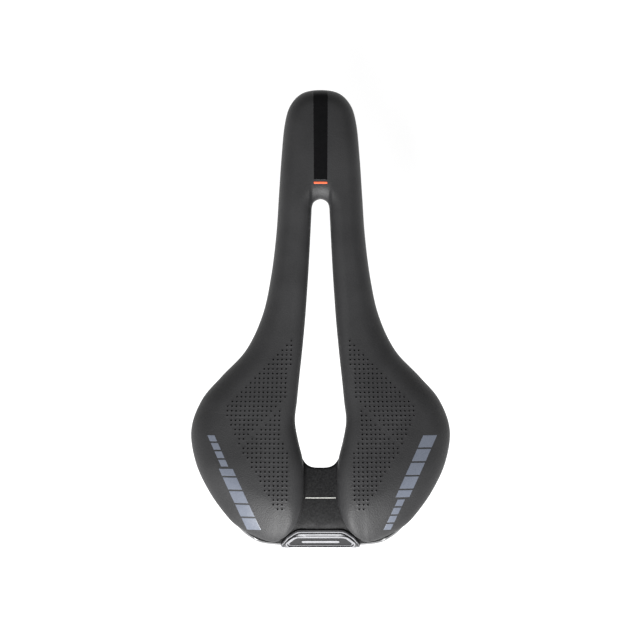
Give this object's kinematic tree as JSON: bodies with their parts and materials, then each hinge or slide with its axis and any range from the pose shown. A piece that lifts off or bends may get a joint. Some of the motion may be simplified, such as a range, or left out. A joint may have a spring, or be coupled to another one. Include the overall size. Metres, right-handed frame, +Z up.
{
  "type": "bicycle saddle",
  "caption": "Racing bicycle saddle with a long relief opening, perforated matte cover on foam, moulded shell, round alloy rails and a tail badge.",
  "frame": {"origin": "middle of the rail's clamping length, halfway between the two straights, at the height of their centrelines", "axes": "+Y forward to the nose, +X the rider's right, +Z up"},
  "size_m": [0.1428, 0.253, 0.0535],
  "materials": {
    "cover": "matte microfibre, perforated on the wings",
    "foam": "open-cell polyurethane foam",
    "shell": "moulded nylon, fine mottled surface, gloss rear lip",
    "strip": "gloss film",
    "accent": "printed dash",
    "print": "satin transfer print",
    "line": "printed line",
    "rail": "satin alloy rod",
    "elastomer": "moulded elastomer",
    "fitting": "glass-filled nylon",
    "hardware": "zinc plated",
    "insert": "turned",
    "badge_dark": "gloss dark chrome",
    "badge_bright": "metallised, satin bevel"
  },
  "bodies": {
    "root": {"cover": "cover", "padding": "foam", "shell": "shell", "nose_strip": "strip", "accent_dash": "accent", "wing_print_left": "print", "wing_print_right": "print", "bridge_line": "line", "rail": "rail", "rail_bush_left": "elastomer", "rail_bush_right": "elastomer", "rear_socket_left": "fitting", "rear_socket_right": "fitting", "socket_screws": "hardware", "socket_inserts": "insert", "nose_cradle": "elastomer", "nose_clip": "fitting", "nose_washer": "hardware", "nose_screw": "hardware", "nose_insert": "insert", "badge_carrier": "badge_dark", "badge_bezel": "badge_bright", "badge_panel": "badge_dark"}
  },
  "joints": []
}
